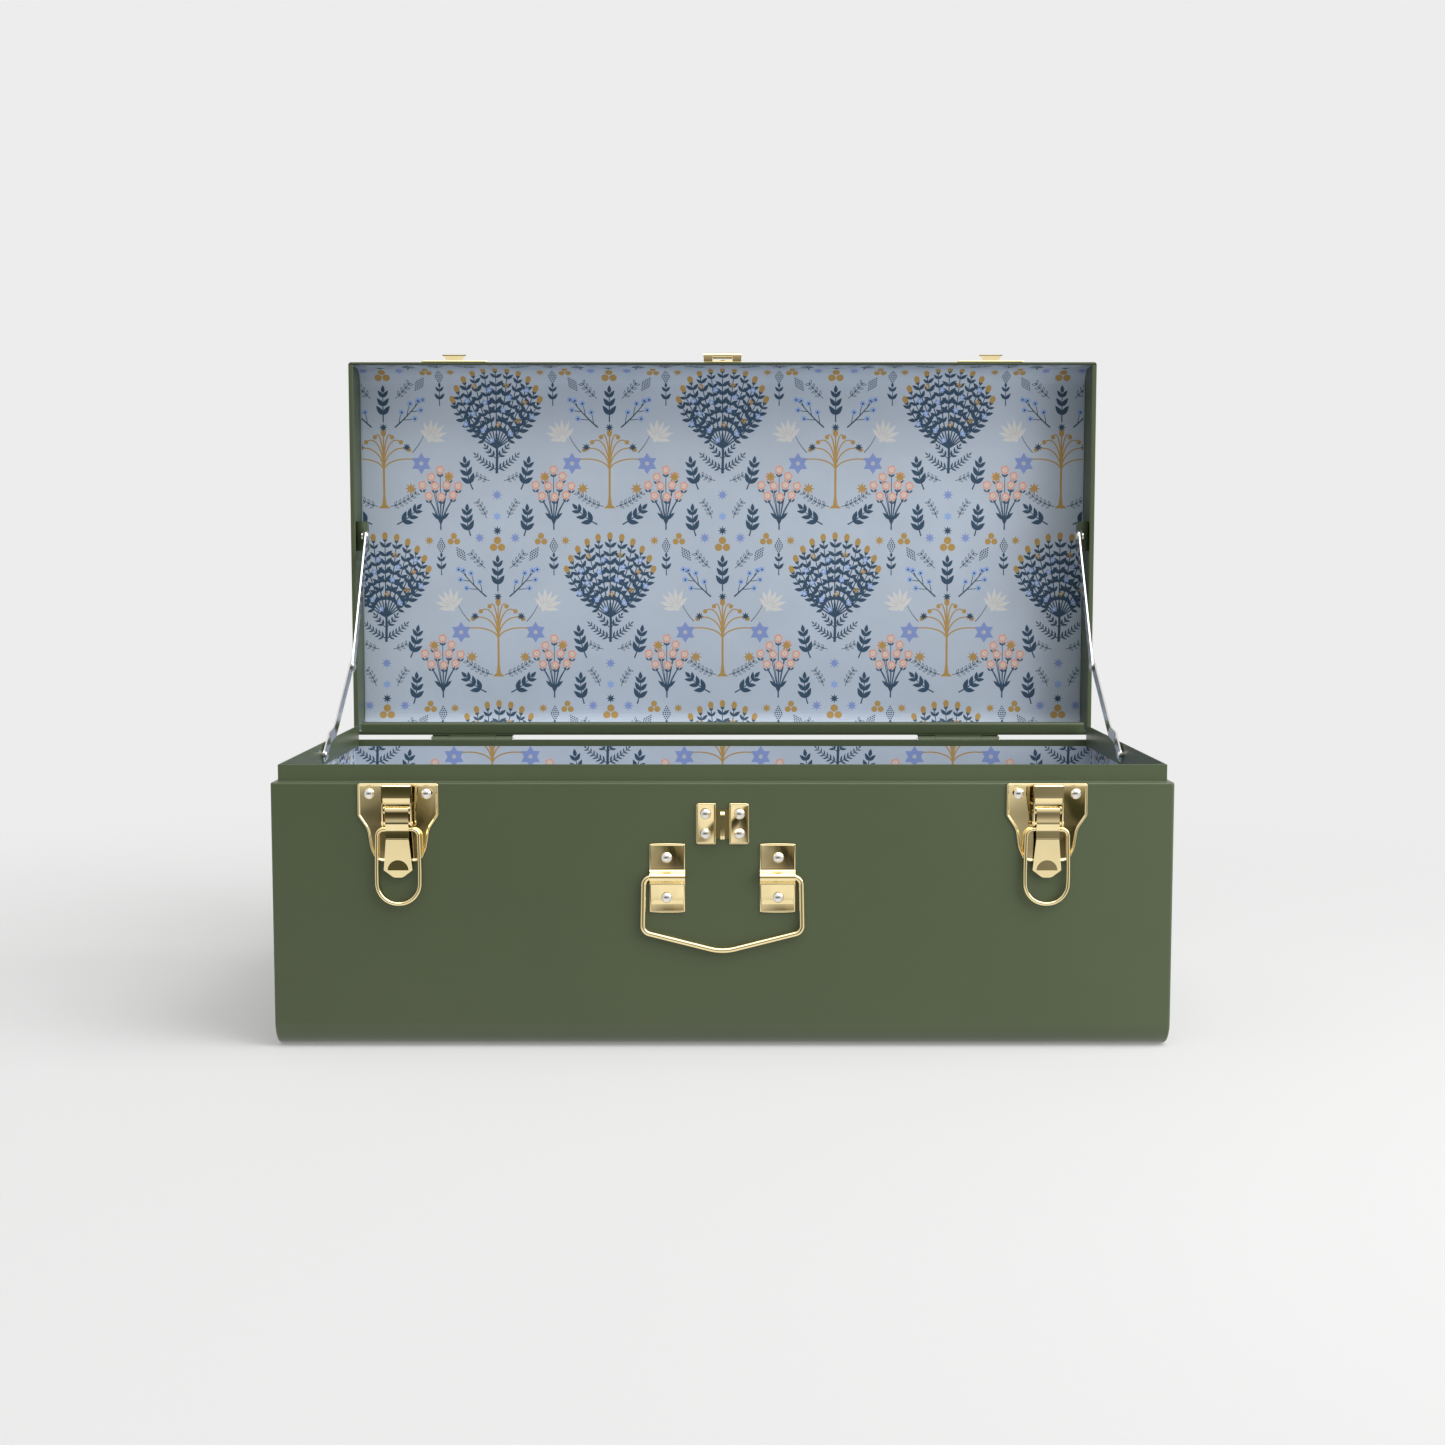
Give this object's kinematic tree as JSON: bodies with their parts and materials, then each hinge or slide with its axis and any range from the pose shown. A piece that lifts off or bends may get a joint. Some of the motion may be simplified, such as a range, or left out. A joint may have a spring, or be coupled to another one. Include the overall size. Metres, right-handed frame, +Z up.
{
  "type": "footlocker",
  "caption": "Steel footlocker trunk standing open: hinged lid on folding stays, drawbolts, hasp with staple, bail handle and printed paper lining.",
  "frame": {"origin": "the middle of the flat underside, on the surface the trunk stands on", "axes": "+Z up, +X to the right along the width, and the front with the latches faces -Y; the lid stands open behind, on +Y"},
  "size_m": [0.8128, 0.4991, 0.6643],
  "materials": {
    "green_paint": "satin baked enamel, olive green",
    "polished_brass": "polished brass plate on pressed steel",
    "nickel_plate": "bright nickel plate",
    "lining_paper": "matt printed paper, pale blue with a botanical repeat"
  },
  "bodies": {
    "base": {"base_end_left": "green_paint", "base_end_lining_left": "lining_paper", "base_end_lining_right": "lining_paper", "base_end_right": "green_paint", "base_lining": "lining_paper", "base_wrap": "green_paint", "handle_clip_left": "polished_brass", "handle_clip_right": "polished_brass", "handle_rivet_left_lower": "nickel_plate", "handle_rivet_left_upper": "nickel_plate", "handle_rivet_right_lower": "nickel_plate", "handle_rivet_right_upper": "nickel_plate", "hinge_base_leaf_left": "green_paint", "hinge_base_leaf_right": "green_paint", "hinge_pin_left": "green_paint", "hinge_pin_right": "green_paint", "latch_plate_left": "polished_brass", "latch_plate_right": "polished_brass", "latch_rivet_left_inner": "nickel_plate", "latch_rivet_left_outer": "nickel_plate", "latch_rivet_right_inner": "nickel_plate", "latch_rivet_right_outer": "nickel_plate", "staple": "polished_brass", "staple_rivet_left_lower": "nickel_plate", "staple_rivet_left_upper": "nickel_plate", "staple_rivet_right_lower": "nickel_plate", "staple_rivet_right_upper": "nickel_plate", "stay_base_rivet_left": "nickel_plate", "stay_base_rivet_right": "nickel_plate", "valance_front": "green_paint", "valance_left": "green_paint", "valance_right": "green_paint"},
    "lid": {"hasp_plate": "polished_brass", "hinge_lid_leaf_left": "green_paint", "hinge_lid_leaf_right": "green_paint", "lid_end_left": "green_paint", "lid_end_right": "green_paint", "lid_lining": "lining_paper", "lid_rear_rail": "green_paint", "lid_strike_left": "polished_brass", "lid_strike_right": "polished_brass", "lid_wrap": "green_paint", "stay_bracket_left": "green_paint", "stay_bracket_right": "green_paint", "stay_lid_rivet_left": "nickel_plate", "stay_lid_rivet_right": "nickel_plate"},
    "stay_lower_left": {"stay_lower_left": "nickel_plate"},
    "stay_upper_left": {"stay_upper_left": "nickel_plate"},
    "latch_lever_left": {"latch_lever_left": "polished_brass"},
    "draw_link_left": {"draw_link_left": "polished_brass"},
    "pull_ring_left": {"pull_ring_left": "polished_brass"},
    "stay_lower_right": {"stay_lower_right": "nickel_plate"},
    "stay_upper_right": {"stay_upper_right": "nickel_plate"},
    "latch_lever_right": {"latch_lever_right": "polished_brass"},
    "draw_link_right": {"draw_link_right": "polished_brass"},
    "pull_ring_right": {"pull_ring_right": "polished_brass"},
    "handle_bail": {"handle_bail": "polished_brass"},
    "hasp_strap": {"hasp_strap": "polished_brass"}
  },
  "joints": [
    {"name": "lid_hinge", "type": "hinge", "parent": "base", "child": "lid", "pos_m": [0, 0.2091, 0.2413], "axis": [1, 0, 0], "range_deg": [0, 90]},
    {"name": "stay_lower_left_swing", "type": "hinge", "parent": "base", "child": "stay_lower_left", "pos_m": [-0.397, 0.0004, 0.2467], "axis": [1, 0, 0], "range_deg": [-20, 0]},
    {"name": "stay_upper_left_swing", "type": "hinge", "parent": "lid", "child": "stay_upper_left", "pos_m": [-0.391, 0.2215, 0.4656], "axis": [1, 0, 0], "range_deg": [0, 43.5]},
    {"name": "latch_lever_left_lift", "type": "hinge", "parent": "base", "child": "latch_lever_left", "pos_m": [-0.2915, -0.2098, 0.219], "axis": [-1, 0, 0], "range_deg": [0, 90]},
    {"name": "draw_link_left_pivot", "type": "hinge", "parent": "latch_lever_left", "child": "draw_link_left", "pos_m": [-0.2915, -0.2105, 0.2068], "axis": [-1, 0, 0], "range_deg": [-90.5, 0]},
    {"name": "pull_ring_left_swing", "type": "hinge", "parent": "latch_lever_left", "child": "pull_ring_left", "pos_m": [-0.2915, -0.2075, 0.2013], "axis": [-1, 0, 0], "range_deg": [0, 80]},
    {"name": "stay_lower_right_swing", "type": "hinge", "parent": "base", "child": "stay_lower_right", "pos_m": [0.397, 0.0004, 0.2467], "axis": [1, 0, 0], "range_deg": [-20, 0]},
    {"name": "stay_upper_right_swing", "type": "hinge", "parent": "lid", "child": "stay_upper_right", "pos_m": [0.391, 0.2215, 0.4656], "axis": [1, 0, 0], "range_deg": [0, 43.5]},
    {"name": "latch_lever_right_lift", "type": "hinge", "parent": "base", "child": "latch_lever_right", "pos_m": [0.2915, -0.2098, 0.219], "axis": [-1, 0, 0], "range_deg": [0, 90]},
    {"name": "draw_link_right_pivot", "type": "hinge", "parent": "latch_lever_right", "child": "draw_link_right", "pos_m": [0.2915, -0.2105, 0.2068], "axis": [-1, 0, 0], "range_deg": [-90.5, 0]},
    {"name": "pull_ring_right_swing", "type": "hinge", "parent": "latch_lever_right", "child": "pull_ring_right", "pos_m": [0.2915, -0.2075, 0.2013], "axis": [-1, 0, 0], "range_deg": [0, 80]},
    {"name": "handle_swing", "type": "hinge", "parent": "base", "child": "handle_bail", "pos_m": [0, -0.2066, 0.1577], "axis": [-1, 0, 0], "range_deg": [0, 95]},
    {"name": "hasp_swing", "type": "hinge", "parent": "lid", "child": "hasp_strap", "pos_m": [0, 0.2168, 0.6611], "axis": [1, 0, 0], "range_deg": [0, 180]}
  ],
  "couplings": [
    {"joint": "stay_lower_left_swing", "follows": "lid_hinge", "ratio": -0.218},
    {"joint": "stay_upper_left_swing", "follows": "lid_hinge", "ratio": 0.478},
    {"joint": "draw_link_left_pivot", "follows": "latch_lever_left_lift", "ratio": -1},
    {"joint": "stay_lower_right_swing", "follows": "lid_hinge", "ratio": -0.218},
    {"joint": "stay_upper_right_swing", "follows": "lid_hinge", "ratio": 0.478},
    {"joint": "draw_link_right_pivot", "follows": "latch_lever_right_lift", "ratio": -1}
  ]
}
